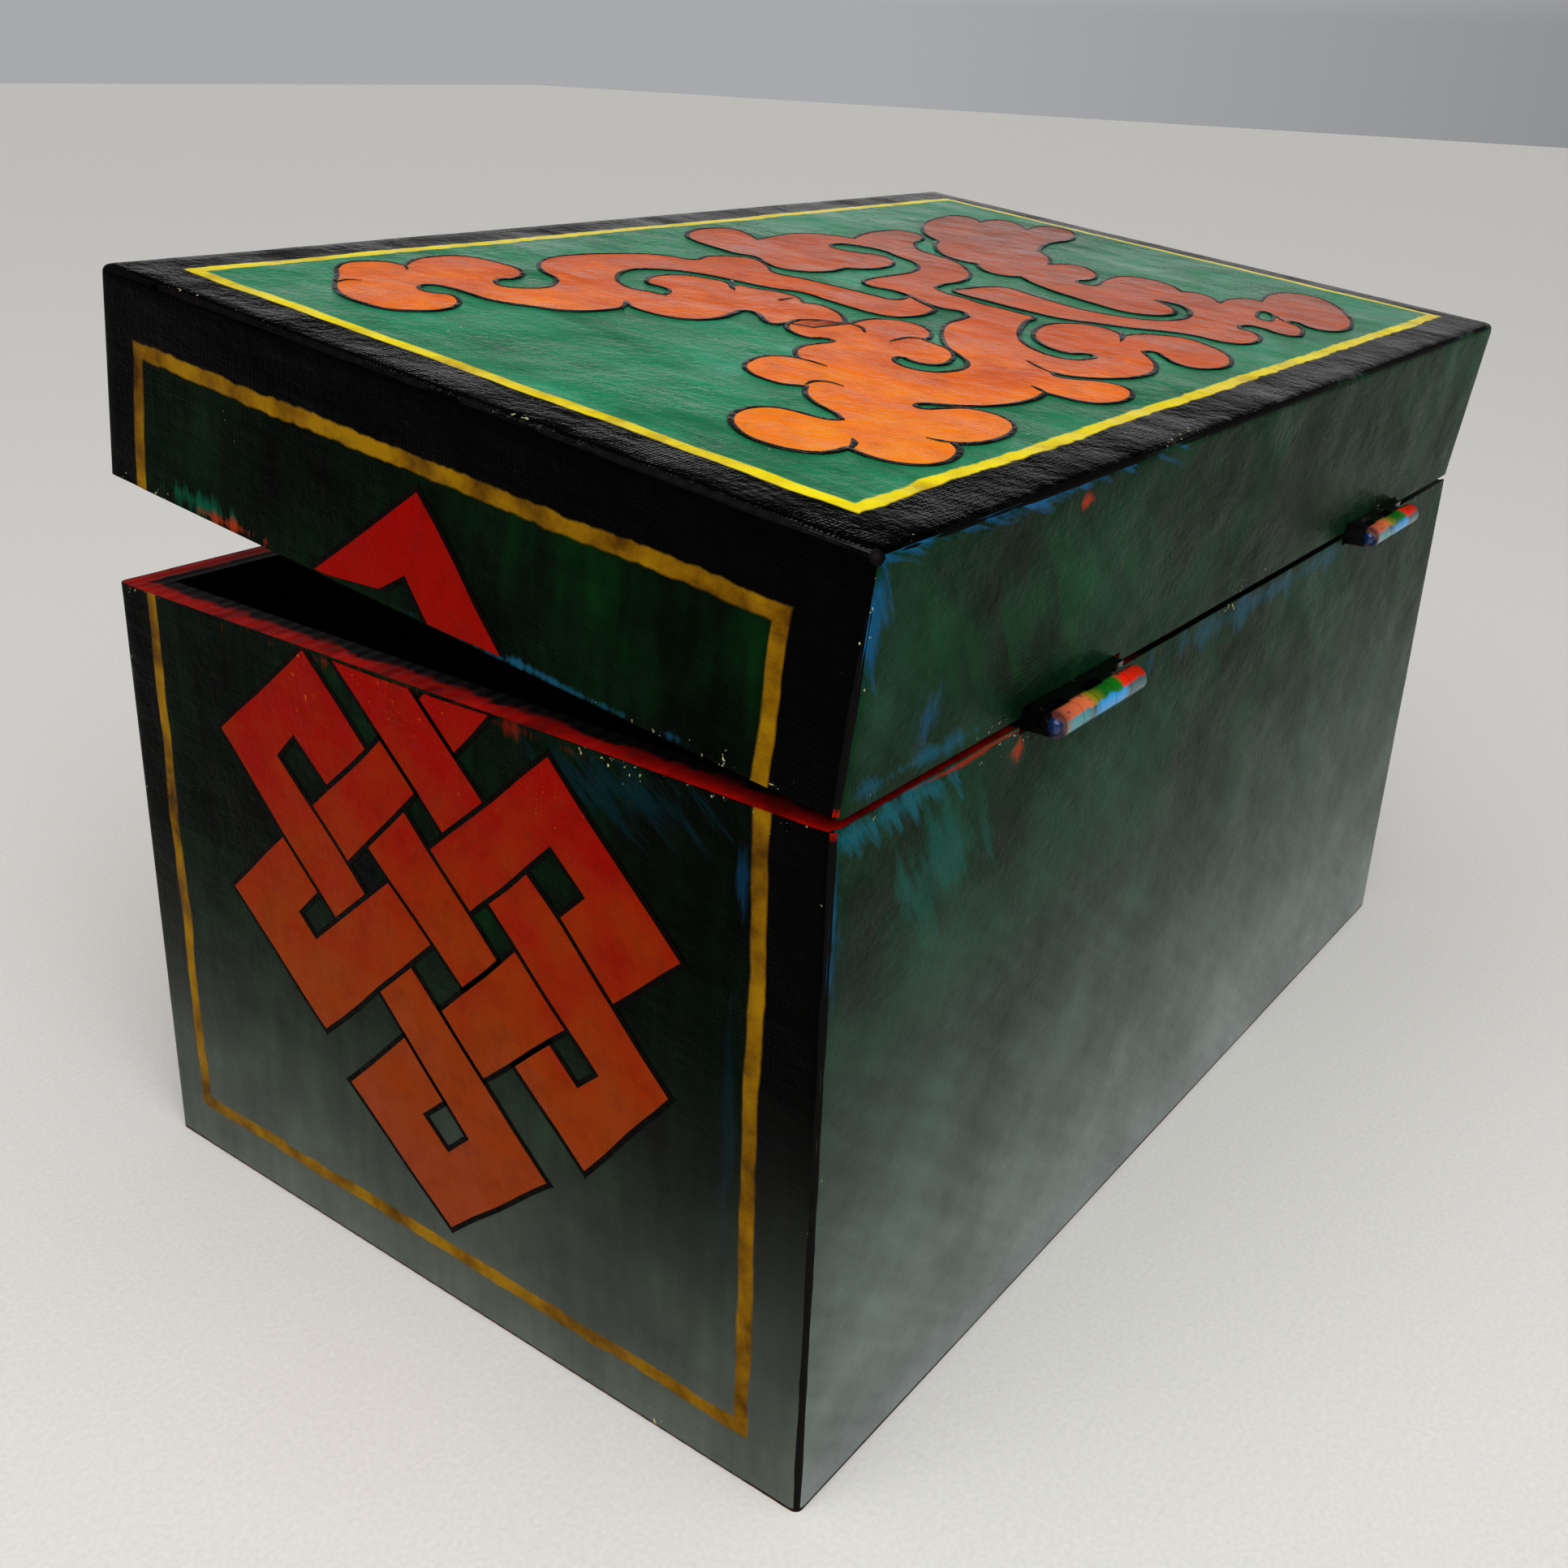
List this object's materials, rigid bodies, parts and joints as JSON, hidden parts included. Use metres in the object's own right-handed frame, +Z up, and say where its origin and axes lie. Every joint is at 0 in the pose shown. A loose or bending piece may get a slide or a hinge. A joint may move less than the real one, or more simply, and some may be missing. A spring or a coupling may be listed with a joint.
{
  "type": "wooden jewelry box",
  "caption": "Rectangular hinged wooden box covered in painted cloth, with a knot on its end and a scroll on its lid; the lid swings open and stays where it is put.",
  "frame": {"origin": "middle of the underside, on the surface that the box stands on", "axes": "+X along the length towards the end with the near hinge, +Y towards the hinged back, +Z up"},
  "size_m": [0.305, 0.1915, 0.2024],
  "materials": {
    "painted_cloth": "gloss varnish over oil paint on glued linen",
    "painted_board": "red paint on the rims, dark paint inside",
    "hinge_metal": "painted over by hand",
    "screw_steel": "plain",
    "nail_steel": "plain"
  },
  "bodies": {
    "base": {"base_front_board": "painted_board", "base_back_board": "painted_board", "base_left_end_board": "painted_board", "base_right_end_board": "painted_board", "base_bottom_board": "painted_board", "base_cloth_covering": "painted_cloth", "base_corner_nails": "nail_steel", "base_bottom_nails": "nail_steel", "near_hinge_base_leaf": "hinge_metal", "near_hinge_pin": "hinge_metal", "far_hinge_base_leaf": "hinge_metal", "far_hinge_pin": "hinge_metal", "base_leaf_screws": "screw_steel"},
    "lid": {"lid_top_board": "painted_board", "lid_front_board": "painted_board", "lid_back_board": "painted_board", "lid_left_end_board": "painted_board", "lid_right_end_board": "painted_board", "lid_cloth_covering": "painted_cloth", "lid_corner_nails": "nail_steel", "lid_top_nails": "nail_steel", "near_hinge_lid_leaf": "hinge_metal", "far_hinge_lid_leaf": "hinge_metal", "lid_leaf_screws": "screw_steel"}
  },
  "joints": [
    {"name": "lid_hinge", "type": "hinge", "parent": "base", "child": "lid", "pos_m": [0, 0.0968, 0.1375], "axis": [-1, 0, 0], "range_deg": [-7.1, 183]}
  ]
}
